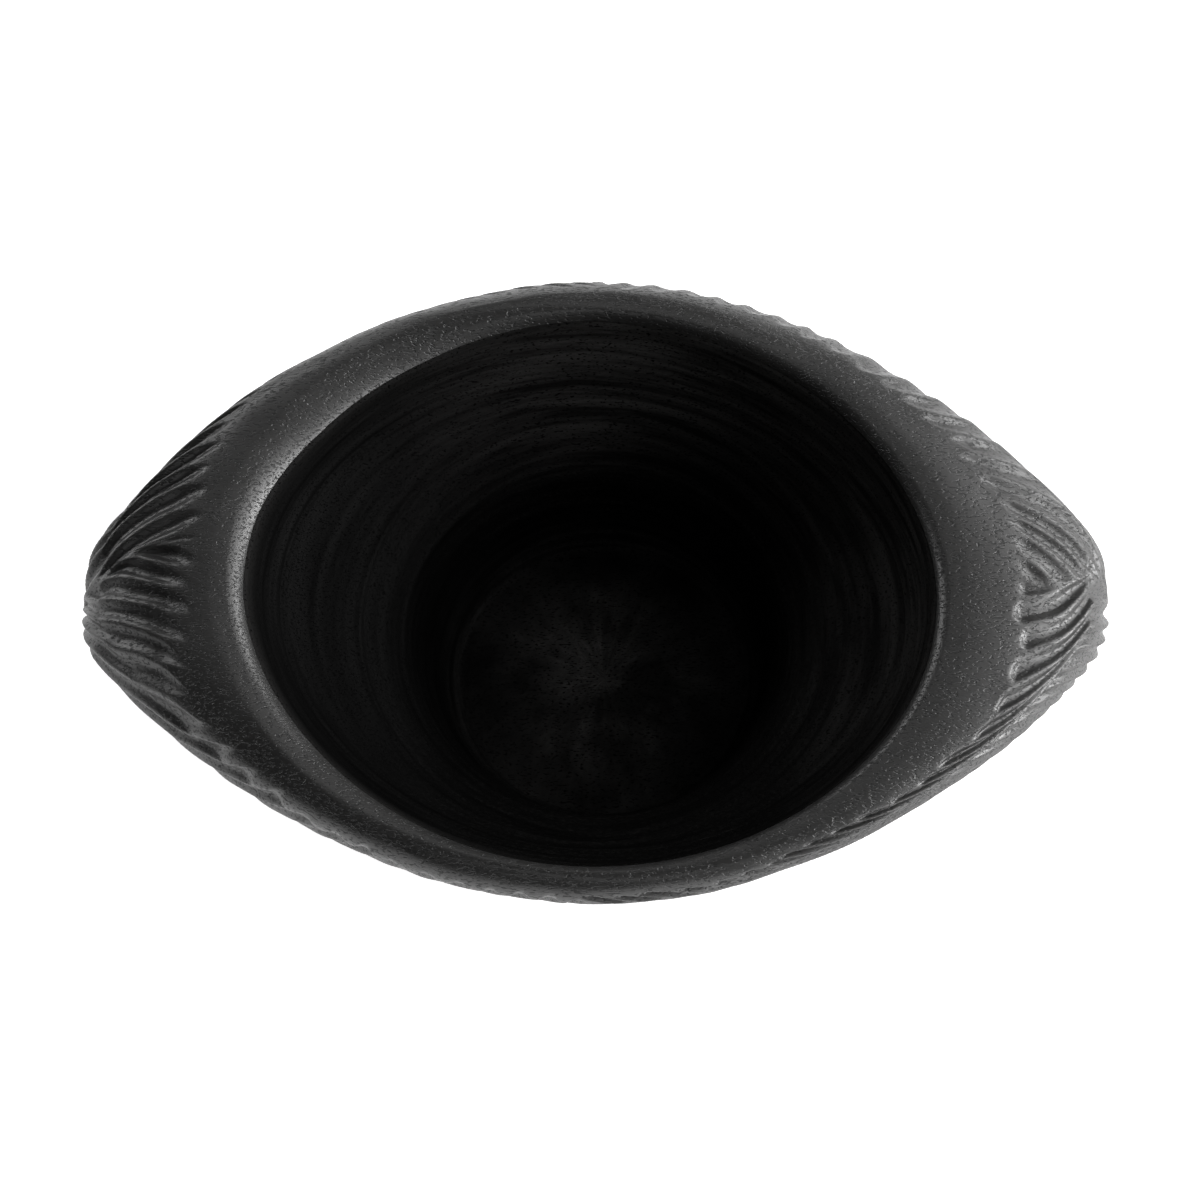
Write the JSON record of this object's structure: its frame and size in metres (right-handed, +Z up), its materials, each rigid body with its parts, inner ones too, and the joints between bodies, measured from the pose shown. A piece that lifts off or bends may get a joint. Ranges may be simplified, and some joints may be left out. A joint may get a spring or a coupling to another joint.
{
  "type": "carved wooden bowl",
  "caption": "Deep black-stained wooden bowl, lens-shaped in plan with keeled ends, carved flutes outside, a smooth rounded lip and a round inner well.",
  "frame": {"origin": "on the resting plane, under the middle of the body", "axes": "+X along the length from keel to keel, +Y from front to back, +Z up out of the mouth"},
  "size_m": [0.2962, 0.1953, 0.096],
  "materials": {
    "stained_wood": "open-pored hardwood, stained black and waxed to a satin sheen, with fine pores, turning marks inside and worn ridge edges outside",
    "felt": "dense dark grey wool felt"
  },
  "bodies": {
    "root": {"vessel_body": "stained_wood", "felt_pad_front_left": "felt", "felt_pad_front_right": "felt", "felt_pad_back_left": "felt", "felt_pad_back_right": "felt"}
  },
  "joints": []
}
